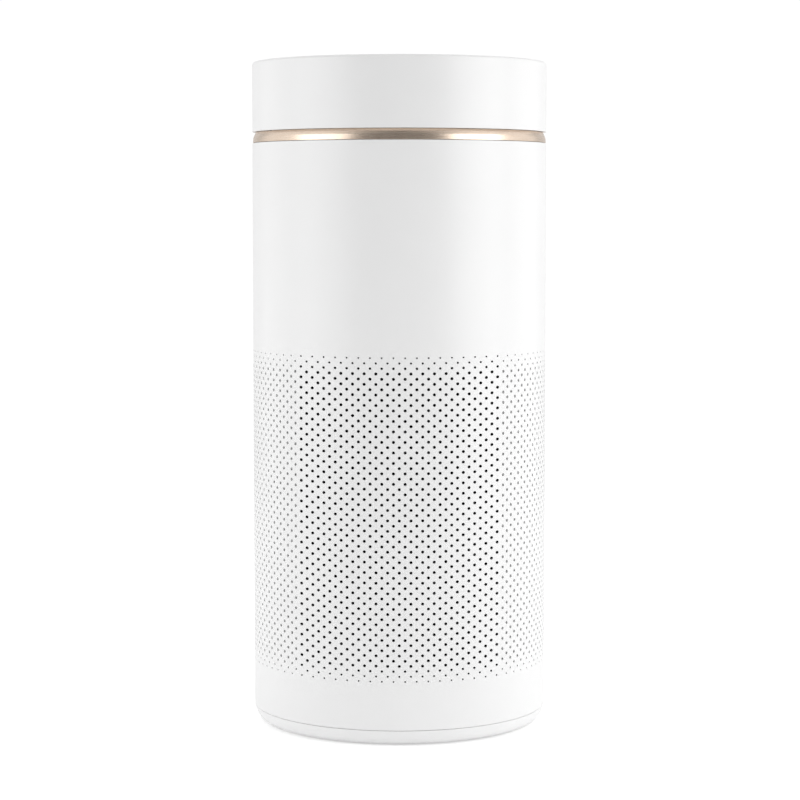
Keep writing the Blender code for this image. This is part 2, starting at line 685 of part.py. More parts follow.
def motor():
    """The still part of the motor: its mount with the bearing tube, two bearings and the wound core."""
    outline = [(0.0065, 0.4150), (0.0090, 0.4150), (0.0090, 0.4480), (0.0575, 0.4480), (0.0575, 0.4505)]
    mount = turned("motor_mount", outline + [(0.0065, 0.4505)], GREY)
    holes = bmesh.new()
    for place in motor_screw_places():
        hole_down(holes, place, 0.0022, 0.4400, 0.4600)
    cut(mount, "holes", holes)
    turned("bearing_lower", rectangle(ON_SHAFT, 0.0062, 0.4160, 0.4210), STEEL, SMALL_SIDES)
    turned("bearing_upper", rectangle(ON_SHAFT, 0.0062, 0.4420, 0.4470), STEEL, SMALL_SIDES)
    core = turned("motor_stator", rectangle(0.0093, 0.0275, 0.4220, 0.4400), COPPER)
    slots = bmesh.new()
    for index in range(9):
        outward = around(1.0, 40 * index)
        across = Vector((-outward.y, outward.x, 0.0)) * 0.0018
        near, far = outward * 0.0150, outward * 0.0300
        outline = [near - across, far - across, far + across, near + across]
        add_plate(slots, [(point.x, point.y) for point in outline], 0.4200, 0.4420)
    cut(core, "slots", slots)


def motor_screw_places():
    return [around(MOTOR_SCREW_CIRCLE, 360 * index / MOTOR_SCREWS) for index in range(MOTOR_SCREWS)]


def motor_fixings():
    """A rubber ring between the motor mount and the hub's flange, and the screws through it."""
    ring = turned("motor_gasket", rectangle(0.0475, 0.0572, 0.4508, 0.4557), RUBBER)
    holes = bmesh.new()
    for index, place in enumerate(motor_screw_places(), start=1):
        hole_down(holes, place, 0.0022, 0.4500, 0.4570)
        outline = [(0.0, 0.4440), (0.0018, 0.4440), (0.0018, 0.4593), (0.0036, 0.4593), (0.0036, 0.4615)]
        turned_at(f"motor_screw_{index}", place, outline + [(0.0, 0.4615)], STEEL)
    cut(ring, "holes", holes)


def air_duct():
    """The tube round the fan, with a ledge inside that the guide vanes stand on."""
    ledge = VANES_BOTTOM - GAP
    outline = [(DUCT_INNER, FAN_DECK_TOP + GAP), (DUCT_OUTER, FAN_DECK_TOP + GAP), (DUCT_OUTER, DUCT_TOP)]
    outline += [(DUCT_INNER, DUCT_TOP), (DUCT_INNER, ledge), (LEDGE_INNER, ledge)]
    turned("air_duct", outline + [(LEDGE_INNER, ledge - 0.0015), (DUCT_INNER, ledge - 0.0045)], GREY)


def guide_vanes():
    """The hub that holds the motor, and the vanes that carry it on the ledge of the duct."""
    outline = [(HUB_INNER, 0.4160), (HUB_OUTER, 0.4160), (HUB_OUTER, 0.4920), (0.0500, 0.5000), (0.0, 0.5020)]
    outline += [(0.0, 0.4995), (0.0490, 0.4975), (HUB_INNER, 0.4905), (HUB_INNER, 0.4590), (0.0460, 0.4590)]
    hub = turned("guide_vanes", outline + [(0.0460, 0.4560), (HUB_INNER, 0.4560)], GREY)
    vanes = bmesh.new()
    for index in range(VANES):
        outline = blade_outline(HUB_OUTER - 0.0010, VANE_REACH, 360 * index / VANES, 24, 0.0020, 3)
        add_plate(vanes, outline, VANES_BOTTOM, 0.4900)
    join(hub, "vanes", vanes)
    holes = bmesh.new()
    for place in motor_screw_places():
        hole_down(holes, place, 0.0022, 0.4500, 0.4592)
    cut(hub, "holes", holes)


# The wiring


def smooth_route(points, steps):
    """Points read along a smooth curve through the route's own points."""
    ends = [points[0] * 2 - points[1], *points, points[-1] * 2 - points[-2]]
    route = []
    for a, b, c, d in zip(ends, ends[1:], ends[2:], ends[3:]):
        for step in range(steps):
            t = step / steps
            route.append((2 * b + (c - a) * t + (2 * a - 5 * b + 4 * c - d) * t**2
                          + (3 * b - a - 3 * c + d) * t**3) / 2)
    route.append(points[-1])
    return route


def main_loom():
    """The wires from the supply board, clipped up the casing's left side and across to the control pod."""
    points = [
        Vector((-0.0380, -0.0100, 0.0160)),
        Vector((-0.0480, -0.0060, 0.0230)),
        around(0.0750, LOOM_ANGLE, 0.0255),
        around(0.1080, LOOM_ANGLE, 0.0270),
        around(LOOM_CIRCLE, LOOM_ANGLE, 0.0420),
        around(LOOM_CIRCLE, LOOM_ANGLE, 0.0800),
        around(LOOM_CIRCLE, LOOM_ANGLE, 0.2200),
        around(LOOM_CIRCLE, LOOM_ANGLE, 0.3800),
        around(LOOM_CIRCLE, LOOM_ANGLE, 0.5100),
        around(LOOM_CIRCLE, LOOM_ANGLE, 0.5500),
        around(0.1150, LOOM_ANGLE, LOOM_CROSSING_HEIGHT - 0.0008),
        around(0.0980, LOOM_ANGLE, LOOM_CROSSING_HEIGHT),
        around(0.0500, LOOM_ANGLE, LOOM_CROSSING_HEIGHT),
        around(0.0420, LOOM_ANGLE, LOOM_CROSSING_HEIGHT + 0.0005),
    ]
    curve = bpy.data.curves.new("main_loom", "CURVE")
    curve.dimensions = "3D"
    curve.bevel_depth = LOOM_RADIUS
    curve.bevel_resolution = 2
    curve.use_fill_caps = True
    route = smooth_route(points, 4)
    spline = curve.splines.new("POLY")
    spline.points.add(len(route) - 1)
    for point, place in zip(spline.points, route):
        point.co = (*place, 1.0)
    curve.materials.append(material("main_loom", RUBBER))
    bpy.context.scene.collection.objects.link(bpy.data.objects.new("main_loom", curve))


def group(name, members):
    """An empty on the joint's axis, which carries the pieces that move together."""
    carrier = bpy.data.objects.new(name, None)
    bpy.context.scene.collection.objects.link(carrier)
    for member in members:
        bpy.data.objects[member].parent = carrier


def main():
    clear_scene()
    base_tray()
    feet()
    base_screws()
    power_board()
    power_inlet()
    outer_barrel()
    columns()
    finger_cup()
    dust_sensor()
    trim_ring()
    head_frame()
    head_ring()
    outlet_grille()
    control_pod()
    control_panel()
    display_lens()
    control_board()
    keys()
    filter_deck()
    rear_door()
    filter_cartridge()
    fan_deck()
    inlet_guard()
    impeller()
    fan_drive()
    motor()
    motor_fixings()
    air_duct()
    guide_vanes()
    main_loom()
    group("fan_axis", ["impeller", "impeller_shroud", "rotor_cup", "fan_shaft", "fan_nut"])
    group("door_slide", ["rear_door", "door_magnet_right", "door_magnet_left"])
    layers = ["carbon_sleeve", "hepa_media", "prefilter_mesh"]
    group("filter_slide", ["filter_bottom_cap", *layers, "filter_top_cap", "filter_seal"])


main()
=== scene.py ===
"""The looks of a round room air purifier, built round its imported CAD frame.

Metres, +Z up. The control side faces -Y and the filter door is at +Y. Angles are in degrees round the
body, from the front towards +X. Outlines are (radius, height) points.
"""

import json
import math

import bmesh
import bpy
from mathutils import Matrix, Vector


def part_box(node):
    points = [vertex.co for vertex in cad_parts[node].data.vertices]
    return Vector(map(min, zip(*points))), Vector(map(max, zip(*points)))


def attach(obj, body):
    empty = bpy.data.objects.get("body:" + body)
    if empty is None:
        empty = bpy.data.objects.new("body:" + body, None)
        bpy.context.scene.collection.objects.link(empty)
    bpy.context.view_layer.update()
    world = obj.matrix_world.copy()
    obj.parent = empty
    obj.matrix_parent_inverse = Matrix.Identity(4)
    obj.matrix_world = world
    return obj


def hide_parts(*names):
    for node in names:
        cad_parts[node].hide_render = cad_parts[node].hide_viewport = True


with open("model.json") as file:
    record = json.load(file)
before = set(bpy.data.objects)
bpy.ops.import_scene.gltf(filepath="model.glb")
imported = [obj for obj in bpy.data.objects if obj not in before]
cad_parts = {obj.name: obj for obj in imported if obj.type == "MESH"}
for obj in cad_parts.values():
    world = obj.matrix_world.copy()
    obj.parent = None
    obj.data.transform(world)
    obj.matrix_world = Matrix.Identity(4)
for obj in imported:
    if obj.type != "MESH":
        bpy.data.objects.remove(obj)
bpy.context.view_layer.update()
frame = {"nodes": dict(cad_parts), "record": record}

BODY_OF = {node: body for body, nodes in frame["record"]["behaviour"]["bodies"].items() for node in nodes}
SLOT_OF = {part["node"]: part["material_slot"] for part in frame["record"]["subparts"]}
STOOD_FOR = set()

# The casing, from the frame
BARREL_LOW, BARREL_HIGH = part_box("outer_barrel")
DOOR_LOW, DOOR_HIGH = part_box("rear_door")
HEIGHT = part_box("head_ring")[1].z
RADIUS = BARREL_HIGH.x
WALL = 0.0025
INNER = RADIUS - WALL
SEAM = 0.0004
GAP = 0.0003  # between touching pieces
SOFT_EDGE = 0.0004

# The lattice of air holes: staggered columns, evenly spaced across the front and the back, and evenly
# spaced round the sides
HOLE_RADIUS = 0.00138  # with this many sides, about the area of a 2.7 mm round hole
HOLE_SIDES = 10
ROW_STEP = 0.0045
ROWS = 63
TOP_ROW = 0.3360
FACE_STEP = 0.0050
FACE_COLUMNS = 17  # to each side of the middle one
SIDE_COLUMNS = 43
SIDE_START = 43.1
SIDE_STEP = (180.0 - 2 * SIDE_START) / (SIDE_COLUMNS - 1)
HALF_COLUMNS = 2 * FACE_COLUMNS + 1 + SIDE_COLUMNS
REAR_COLUMN = HALF_COLUMNS + FACE_COLUMNS  # the one at the middle of the back
DOOR_FROM = 2 * FACE_COLUMNS + 1 + 33
DOOR_TO = 2 * REAR_COLUMN - DOOR_FROM
EDGE_ROW_SIZES = (0.57, 0.70, 0.83)  # the holes shrink over the last rows
LATTICE_TOP = TOP_ROW + ROW_STEP
LATTICE_BOTTOM = TOP_ROW - ROWS * ROW_STEP

# The openings in the casing
WINDOW = (0.0450, 0.3450)
RECESS_HALF_WIDTH = 0.0275
RECESS_TOP = 0.3660
SENSOR_HALF_WIDTH = 0.0125
SENSOR = (0.4050, 0.4370)
INLET_HALF_WIDTH = 0.0125
INLET = (0.0191, 0.0349)
CORNER = 0.0050

# The head and the controls on it
LEDGE_HEIGHT = 0.5775
LENS_RADIUS = 0.0310
KEY_CIRCLE = 0.0450
KEY_RADIUS = 0.0068
KEY_ANGLES = {"power_key": -54.0, "speed_key": -18.0, "mode_key": 18.0, "timer_key": 54.0}
SLATS = 32
PANEL_TOP = 0.5870
PANEL_UNDER = 0.5844

# The base, the door's pegs and the filter
FEET = {
    "foot_front_left": -45.0,
    "foot_front_right": 45.0,
    "foot_rear_right": 135.0,
    "foot_rear_left": -135.0,
}
FOOT_CIRCLE = 0.1020
FOOT_HOLE_RADIUS = 0.0050
SCREW_ANGLES = (0.0, 120.0, -120.0)
SCREW_CIRCLE = 0.0880
SCREW_HOLE_RADIUS = 0.0042
PEG_X = 0.1080
PEG_HEIGHT = 0.0505
MAGNET_ANGLES = (116.4, 117.2, 118.0, 118.9)  # along one magnet's holder
MAGNET_HEIGHTS = (0.3000, 0.3250)
FILTER_RADIUS = 0.0960
FILTER_BORE = 0.0620

# The camera, the set and the light
CAMERA_LENS = 106.7
CAMERA_PLACE = (0.0006, -2.1455, 0.4626)
CAMERA_DOWN = 4.605  # how far it looks down
FLOOR_RADIUS = 1.7
FLOOR_GLOW = 0.15  # twice: from the floor itself, and over it for the camera only
BACKDROP_RADIUS = 20.0
BACKDROP_GLOW = 1.02
SOFT_BOX_POWER = {"left_box": 10.6, "right_box": 15.0}
SOFT_BOX_PLACE = (1.8, -1.0, 0.8)  # of the right one
SOFT_BOX_SIZE = (1.7, 1.5)
SOFT_BOX_AIM = (0.0, 0.0, 0.3)

# The light that comes from the studio, by how far the direction points to the back: (Y, strength)
STUDIO = (
    (-1.00, 0.25), (-0.92, 0.21), (-0.74, 0.33), (-0.42, 1.14), (0.30, 1.16),
    (0.68, 1.01), (0.77, 0.28), (0.86, 0.88), (1.00, 0.61),
)
STUDIO_SIDES = (0.99, 1.06)  # on the left, on the right
STUDIO_TALL = 0.4  # how much the upward part of a direction counts: the dark parts are taller than wide

SIDES = 192
SMALL_SIDES = 48


# Mesh helpers


def around(radius, angle, height=0.0):
    """The point at this radius and angle round the body."""
    turn = math.radians(angle)
    return Vector((radius * math.sin(turn), -radius * math.cos(turn), height))


def arc(centre, radii, start, end, steps):
    """Points along an elliptical part of an outline."""
    points = []
    for step in range(steps + 1):
        turn = math.radians(start + (end - start) * step / steps)
        points.append((centre[0] + radii[0] * math.cos(turn), centre[1] + radii[1] * math.sin(turn)))
    return points


def rectangle(inner, outer, bottom, top):
    return [(inner, bottom), (outer, bottom), (outer, top), (inner, top)]


def soften(outline, radius, steps=3):
    """The outline with its corners rounded. Points on the axis and points of a curve stay as they are."""
    softened = []
    corners = [Vector(point) for point in outline]
    for index, corner in enumerate(corners):
        before = corners[index - 1] - corner
        after = corners[(index + 1) % len(corners)] - corner
        if abs(corner.x) < 1e-6 or before.angle(after) > math.radians(150):
            softened.append(tuple(corner))
            continue
        near = corner + before.normalized() * min(radius, before.length * 0.45)
        far = corner + after.normalized() * min(radius, after.length * 0.45)
        for step in range(steps + 1):
            t = step / steps
            softened.append(tuple(near * (1 - t) ** 2 + corner * 2 * t * (1 - t) + far * t ** 2))
    return softened


def add_loft(bm, rings, closed=False):
    """Joins rings of points, one after the other, and closes the two ends or the circle."""
    rows = [[bm.verts.new(point) for point in ring] for ring in rings]
    following = rows[1:] + rows[:1] if closed else rows[1:]
    for near, far in zip(rows, following):
        count = len(near)
        for i in range(count):
            j = (i + 1) % count
            bm.faces.new((near[i], near[j], far[j], far[i]))
    if not closed:
        bm.faces.new(rows[0])
        bm.faces.new(rows[-1])


def add_turned(bm, outline, sides=SIDES, place=(0.0, 0.0)):
    """An outline turned once round the upright line through place."""
    rings = []
    middle = Vector((*place, 0.0))
    for step in range(sides):
        rings.append([around(radius, 360 * step / sides, height) + middle for radius, height in outline])
    add_loft(bm, rings, closed=True)
    on_axis = [vert for vert in bm.verts if (vert.co - middle).xy.length < 1e-6]
    bmesh.ops.remove_doubles(bm, verts=on_axis, dist=1e-6)
    lone = [edge for edge in bm.edges if not edge.link_faces]
    bmesh.ops.delete(bm, geom=lone, context="EDGES")


def add_strip(bm, points, width, low, high):
    """A flat raised line along points, square in section."""
    rings = []
    for index, point in enumerate(points):
        along = points[min(index + 1, len(points) - 1)] - points[max(index - 1, 0)]
        across = Vector((-along.y, along.x, 0.0)).normalized() * width / 2
        near, far = point - across, point + across
        rings.append([(*near.xy, low), (*far.xy, low), (*far.xy, high), (*near.xy, high)])
    add_loft(bm, rings)


def dress(obj, node, slot=None, replaces=()):
    """Gives a piece its material and slot, the body of a CAD node, and the nodes that it stands for."""
    slot = slot or SLOT_OF[node]
    obj.data.materials.clear()
    obj.data.materials.append(MATERIALS[slot])
    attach(obj, BODY_OF[node])
    if replaces:
        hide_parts(*replaces)
        STOOD_FOR.update(replaces)
    return obj


def new_object(name, mesh):
    obj = bpy.data.objects.new(name, mesh)
    bpy.context.scene.collection.objects.link(obj)
    return obj


def shaded(name, bm, sharp=40.0):
    """An object with smooth faces, sharp only at real edges, whose flat faces shade flat."""
    bmesh.ops.recalc_face_normals(bm, faces=bm.faces)
    mesh = bpy.data.meshes.new(name)
    bm.to_mesh(mesh)
    bm.free()
    mesh.shade_smooth()
    mesh.set_sharp_from_angle(angle=math.radians(sharp))
    obj = new_object(name, mesh)
    weighted = obj.modifiers.new("weighted", "WEIGHTED_NORMAL")
    weighted.keep_sharp = True
    weighted.weight = 50
    return obj


def standing_for(node, bm):
    """A piece in the place of one CAD node, named after it."""
    return dress(shaded("fine_" + node, bm), node, replaces=(node,))


def cut(bm, cutter):
    """The first mesh with the second taken away."""
    target = bpy.data.meshes.new("target")
    tool = bpy.data.meshes.new("tool")
    for mesh, source in ((target, bm), (tool, cutter)):
        bmesh.ops.recalc_face_normals(source, faces=source.faces)
        source.to_mesh(mesh)
        source.free()
    solid, helper = new_object("target", target), new_object("tool", tool)
    modifier = solid.modifiers.new("cut", "BOOLEAN")
    modifier.object = helper
    modifier.operation = "DIFFERENCE"
    modifier.solver = "EXACT"
    bpy.context.view_layer.update()
    result = bmesh.new()
    result.from_object(solid, bpy.context.evaluated_depsgraph_get())
    for obj in (solid, helper):
        bpy.data.objects.remove(obj)
    for mesh in (target, tool):
        bpy.data.meshes.remove(mesh)
    return result


# Materials


def node_material(name, roughness=0.4, metallic=0.0):
    made = bpy.data.materials.new(name)
    made.use_nodes = True
    tree = made.node_tree
    shader = tree.nodes["Principled BSDF"]
    shader.inputs["Roughness"].default_value = roughness
    shader.inputs["Metallic"].default_value = metallic
    return made, tree, shader


def noise(tree, scale, detail=4.0, roughness=0.55, stretch=None):
    """A noise over the piece's own coordinates, stretched along an axis where asked."""
    where = tree.nodes.new("ShaderNodeTexCoord").outputs["Object"]
    if stretch:
        mapping = tree.nodes.new("ShaderNodeMapping")
        mapping.inputs["Scale"].default_value = stretch
        tree.links.new(where, mapping.inputs["Vector"])
        where = mapping.outputs["Vector"]
    texture = tree.nodes.new("ShaderNodeTexNoise")
    texture.inputs["Scale"].default_value = scale
    texture.inputs["Detail"].default_value = detail
    texture.inputs["Roughness"].default_value = roughness
    tree.links.new(where, texture.inputs["Vector"])
    return texture.outputs["Fac"]


def blend_colours(tree, factor, dark, light):
    ramp = tree.nodes.new("ShaderNodeValToRGB")
    ramp.color_ramp.elements[0].position = 0.35
    ramp.color_ramp.elements[0].color = (*dark, 1.0)
    ramp.color_ramp.elements[1].position = 0.65
    ramp.color_ramp.elements[1].color = (*light, 1.0)
    tree.links.new(factor, ramp.inputs["Fac"])
    return ramp.outputs["Color"]


def spread(tree, factor, low, high):
    scale = tree.nodes.new("ShaderNodeMapRange")
    scale.inputs["To Min"].default_value = low
    scale.inputs["To Max"].default_value = high
    tree.links.new(factor, scale.inputs["Value"])
    return scale.outputs["Result"]


def bump(tree, shader, height, distance, strength=1.0):
    node = tree.nodes.new("ShaderNodeBump")
    node.inputs["Distance"].default_value = distance
    node.inputs["Strength"].default_value = strength
    tree.links.new(height, node.inputs["Height"])
    tree.links.new(node.outputs["Normal"], shader.inputs["Normal"])


def moulded(name, dark, light, roughness, grain, depth, coat=0.0):
    """Moulded stuff: a faint mottle, uneven gloss and a fine grain in the skin."""
    made, tree, shader = node_material(name)
    shader.inputs["Coat Weight"].default_value = coat
    shader.inputs["Coat Roughness"].default_value = 0.08
    tree.links.new(blend_colours(tree, noise(tree, 22.0), dark, light), shader.inputs["Base Color"])
    tree.links.new(spread(tree, noise(tree, 60.0), *roughness), shader.inputs["Roughness"])
    bump(tree, shader, noise(tree, grain, 6.0), depth, 0.5)
    return made


def turned_metal(name, dark, light, roughness):
    """Metal turned on a lathe: fine lines that run round the axis."""
    made, tree, shader = node_material(name, metallic=1.0)
    lines = noise(tree, 90.0, 5.0, 0.7, stretch=(0.4, 0.4, 60.0))
    tree.links.new(blend_colours(tree, lines, dark, light), shader.inputs["Base Color"])
    tree.links.new(spread(tree, lines, *roughness), shader.inputs["Roughness"])
    bump(tree, shader, lines, 0.00001, 0.3)
    return made


def woven_mesh(name, dark, light, pitch):
    """A fine square net of threads."""
    made, tree, shader = node_material(name, roughness=0.85)
    where = tree.nodes.new("ShaderNodeTexCoord").outputs["Object"]
    threads = []
    for axis in ("X", "Z"):
        wave = tree.nodes.new("ShaderNodeTexWave")
        wave.bands_direction = axis
        wave.inputs["Scale"].default_value = 0.31416 / pitch
        tree.links.new(where, wave.inputs["Vector"])
        threads.append(wave.outputs["Fac"])
    both = tree.nodes.new("ShaderNodeMath")
    both.operation = "MAXIMUM"
    tree.links.new(threads[0], both.inputs[0])
    tree.links.new(threads[1], both.inputs[1])
    tree.links.new(blend_colours(tree, both.outputs["Value"], dark, light), shader.inputs["Base Color"])
    bump(tree, shader, both.outputs["Value"], pitch * 0.3, 0.8)
    return made


def make_materials():
    made = [
        moulded("white_plastic", (0.862, 0.862, 0.862), (0.870, 0.870, 0.870), (0.28, 0.32), 900.0, 0.00001),
        moulded("grey_plastic", (0.36, 0.37, 0.38), (0.42, 0.43, 0.44), (0.50, 0.66), 1400.0, 0.00008),
        moulded("dark_plastic", (0.030, 0.030, 0.033), (0.05, 0.05, 0.054), (0.48, 0.64), 1400.0, 0.00008),
        moulded("smoked_lens", (0.010, 0.010, 0.012), (0.014, 0.014, 0.016), (0.04, 0.10), 60.0, 0.000005,
                coat=0.6),
        moulded("rubber", (0.018, 0.018, 0.018), (0.030, 0.030, 0.030), (0.75, 0.92), 1800.0, 0.00012),
        moulded("filter_paper", (0.80, 0.80, 0.77), (0.88, 0.88, 0.86), (0.90, 1.00), 1600.0, 0.00015),
        moulded("carbon", (0.010, 0.010, 0.010), (0.035, 0.035, 0.035), (0.70, 0.95), 900.0, 0.0006),
        moulded("circuit_board", (0.015, 0.13, 0.05), (0.03, 0.20, 0.08), (0.30, 0.45), 700.0, 0.00005),
        woven_mesh("filter_mesh", (0.012, 0.012, 0.014), (0.050, 0.050, 0.055), 0.0008),
        turned_metal("champagne_metal", (0.72, 0.58, 0.47), (0.80, 0.67, 0.55), (0.22, 0.32)),
        turned_metal("steel", (0.50, 0.50, 0.51), (0.66, 0.66, 0.67), (0.22, 0.40)),
        turned_metal("brass_pin", (0.70, 0.52, 0.22), (0.82, 0.65, 0.34), (0.15, 0.28)),
        turned_metal("copper_winding", (0.55, 0.24, 0.10), (0.75, 0.38, 0.18), (0.25, 0.40)),
    ]
    return {material.name.split(".")[0]: material for material in made}


MATERIALS = make_materials()


# The casing: one lattice of cells round the body, each with its hole, with an outer and an inner skin


def make_columns():
    """The columns in order: angle on the outer and on the inner skin, whether its holes run along Y as
    they leave the mould, the half of the body (0 front, 180 rear) and its first row of holes."""
    columns = []
    for half in (0.0, 180.0):
        for step in range(-FACE_COLUMNS, FACE_COLUMNS + 1):
            outer = half + math.degrees(math.asin(step * FACE_STEP / RADIUS))
            inner = half + math.degrees(math.asin(step * FACE_STEP / INNER))
            columns.append((outer, inner, True, half, (step + 1) % 2))
        for step in range(SIDE_COLUMNS):
            angle = half + SIDE_START + SIDE_STEP * step
            columns.append((angle, angle, False, half, (step + 1) % 2))
    return columns


def lines_between(columns):
    """The upright grid lines: one before each column, as its angles on the outer and on the inner skin."""
    lines = []
    for index, column in enumerate(columns):
        before = columns[index - 1]
        turn = 360.0 if index == 0 else 0.0
        lines.append(((before[0] - turn + column[0]) / 2, (before[1] - turn + column[1]) / 2))
    return lines


def hole_size(row):
    """The radius of the holes in a row."""
    from_edge = min(row, ROWS - 1 - row)
    share = EDGE_ROW_SIZES[from_edge] if from_edge < len(EDGE_ROW_SIZES) else 1.0
    return HOLE_RADIUS * share


def row_height(row):
    return TOP_ROW - ROW_STEP * row


class Skin:
    """Pairs of points, one on the outer and one on the inner skin, and the faces over them."""

    def __init__(self, columns, lines):
        self.columns, self.lines = columns, lines
        self.outer, self.inner, self.faces = [], [], []
        self.known, self.rims = {}, set()

    def point(self, outer, inner, height):
        """A new pair of points, from its angles on the two skins."""
        self.outer.append(around(RADIUS, outer, height))
        self.inner.append(around(INNER, inner, height))
        return len(self.outer) - 1

    def grid(self, line, height):
        """The pair of points where a grid line crosses this height."""
        key = (line % len(self.lines), round(height, 6))
        if key not in self.known:
            self.known[key] = self.point(*self.lines[key[0]], height)
        return self.known[key]

    def plain_cell(self, column, low, high):
        right = column + 1
        self.faces.append((self.grid(column, low), self.grid(right, low), self.grid(right, high),
                           self.grid(column, high)))

    def corner_cell(self, column, low, high, on_right, on_top):
        """What is left in the corner of an opening, between its arc and its square corner."""
        left, right = self.lines[column], self.lines[column + 1]
        across, opposite = (column + 1, column) if on_right else (column, column + 1)
        level, away = (high, low) if on_top else (low, high)
        face = [self.grid(across, away), self.grid(across, level), self.grid(opposite, level)]
        steps = 6
        for step in range(1, steps):
            t = math.radians(90 - 90 * step / steps)
            u = math.cos(t) if on_right else 1 - math.cos(t)
            v = math.sin(t) if on_top else 1 - math.sin(t)
            outer = left[0] + (right[0] - left[0]) * u
            inner = left[1] + (right[1] - left[1]) * u
            face.append(self.point(outer, inner, low + (high - low) * v))
        if on_right != on_top:
            face.reverse()
        self.faces.append(tuple(face))

    def hole_point(self, column, across, height):
        """A point on the rim of a hole, this far to the side of the hole's axis."""
        outer, inner, straight, half, _ = self.columns[column]
        if not straight:
            turn = math.degrees(across / RADIUS)
            return self.point(outer + turn, inner + turn, height)
        x = RADIUS * math.sin(math.radians(outer - half)) + across
        return self.point(half + math.degrees(math.asin(x / RADIUS)),
                          half + math.degrees(math.asin(x / INNER)), height)

    def hole_cell(self, column, row):
        """A cell two rows high with a round hole in its middle."""
        radius = hole_size(row)
        ring = []
        for step in range(HOLE_SIDES):
            turn = 2 * math.pi * step / HOLE_SIDES
            height = row_height(row) + radius * math.sin(turn)
            ring.append(self.hole_point(column, radius * math.cos(turn), height))
        self.rims.update(ring)
        ring.append(ring[0])
        right = column + 1
        places = [(right, row), (right, row - 1), (column, row - 1), (column, row), (column, row + 1),
                  (right, row + 1), (right, row)]
        corners = [self.grid(line, row_height(level)) for line, level in places]
        shares = (0, 2, 3, 5, 7, 8, 10)  # how far round the rim each corner's faces reach
        for index in range(6):
            part = ring[shares[index]:shares[index + 1] + 1]
            self.faces.append((corners[index], corners[index + 1], *reversed(part)))

    def lattice(self, column):
        """A whole column of holes, with plain half cells at its ends where it starts a row later."""
        first = self.columns[column][4]
        if first == 1:
            self.plain_cell(column, row_height(0), row_height(-1))
            self.plain_cell(column, row_height(ROWS), row_height(ROWS - 1))
        for row in range(first, ROWS, 2):
            self.hole_cell(column, row)

    def mesh(self, name):
        """The solid between the two skins, with rounded edges and faces that shade as a true cylinder."""
        count = len(self.outer)
        bm = bmesh.new()
        kind = bm.faces.layers.int.new("rounded")
        verts = [bm.verts.new(place) for place in self.outer + self.inner]
        directed = set()
        for face in self.faces:
            bm.faces.new([verts[index] for index in face])
            bm.faces.new([verts[index + count] for index in reversed(face)])
            directed.update(zip(face, face[1:] + face[:1]))
        borders = []
        for a, b in sorted(directed):
            if (b, a) not in directed:
                bm.faces.new((verts[b], verts[a], verts[a + count], verts[b + count]))
                if a not in self.rims:
                    borders.append(bm.edges.get((verts[a], verts[b])))
        rounded = bmesh.ops.bevel(bm, geom=borders, offset=SOFT_EDGE, segments=2, profile=0.5, affect="EDGES")
        for face in rounded["faces"]:
            face[kind] = 1
        mesh = bpy.data.meshes.new(name)
        bm.to_mesh(mesh)
        bm.free()
        set_casing_normals(mesh)
        return mesh


def set_casing_normals(mesh):
    """Normals straight out from the axis on both skins and where the rounded edges start."""
    mesh.shade_smooth()
    mesh.set_sharp_from_angle(angle=math.radians(50))
    radii = [math.hypot(vert.co.x, vert.co.y) for vert in mesh.vertices]
    rounded = [item.value for item in mesh.attributes["rounded"].data]
    normals = [Vector((0.0, 0.0, 0.0))] * len(mesh.loops)
    for polygon in mesh.polygons:
        for skin, sign in ((RADIUS, 1.0), (INNER, -1.0)):
            on_skin = [abs(radii[vert] - skin) < 2e-6 for vert in polygon.vertices]
            if not all(on_skin) and not (rounded[polygon.index] and sign > 0):
                continue
            for loop in polygon.loop_indices:
                vert = mesh.loops[loop].vertex_index
                if abs(radii[vert] - skin) < 2e-6:
                    place = mesh.vertices[vert].co
                    normals[loop] = Vector((place.x, place.y, 0.0)).normalized() * sign
    mesh.normals_split_custom_set(normals)
    mesh.attributes.remove(mesh.attributes["rounded"])


def build_casing():
    """The casing's barrel, with the window for the door, the recess, the sensor's hole and the inlet's."""
    columns = make_columns()
    skin = Skin(columns, lines_between(columns))
    openings = [(DOOR_FROM, DOOR_TO, *WINDOW)]
    for half_width, heights in ((RECESS_HALF_WIDTH, (WINDOW[1], RECESS_TOP)), (SENSOR_HALF_WIDTH, SENSOR),
                                (INLET_HALF_WIDTH, INLET)):
        reach = round(half_width / FACE_STEP - 0.5)
        openings.append((REAR_COLUMN - reach, REAR_COLUMN + reach, *heights))
    recess, sensor = openings[1], openings[2]
    rounded_corners = {
        (recess[0], RECESS_TOP - CORNER): (False, True),
        (recess[1], RECESS_TOP - CORNER): (True, True),
        (sensor[0], SENSOR[0]): (False, False),
        (sensor[1], SENSOR[0]): (True, False),
        (sensor[0], SENSOR[1] - CORNER): (False, True),
        (sensor[1], SENSOR[1] - CORNER): (True, True),
    }
    below = (BARREL_LOW.z, INLET[0], INLET[1], WINDOW[0], LATTICE_BOTTOM)
    above = (LATTICE_TOP, WINDOW[1], RECESS_TOP - CORNER, RECESS_TOP, SENSOR[0], SENSOR[0] + CORNER,
             SENSOR[1] - CORNER, SENSOR[1], BARREL_HIGH.z)
    bands = list(zip(below, below[1:])) + list(zip(above, above[1:]))
    for column in range(len(columns)):
        if not DOOR_FROM <= column <= DOOR_TO:
            skin.lattice(column)
        for low, high in bands:
            corner = rounded_corners.get((column, low))
            if corner:
                skin.corner_cell(column, low, high, *corner)
            elif not any(first <= column <= last and bottom <= low and high <= top
                         for first, last, bottom, top in openings):
                skin.plain_cell(column, low, high)
    dress(new_object("casing", skin.mesh("casing")), "outer_barrel", replaces=("outer_barrel",))


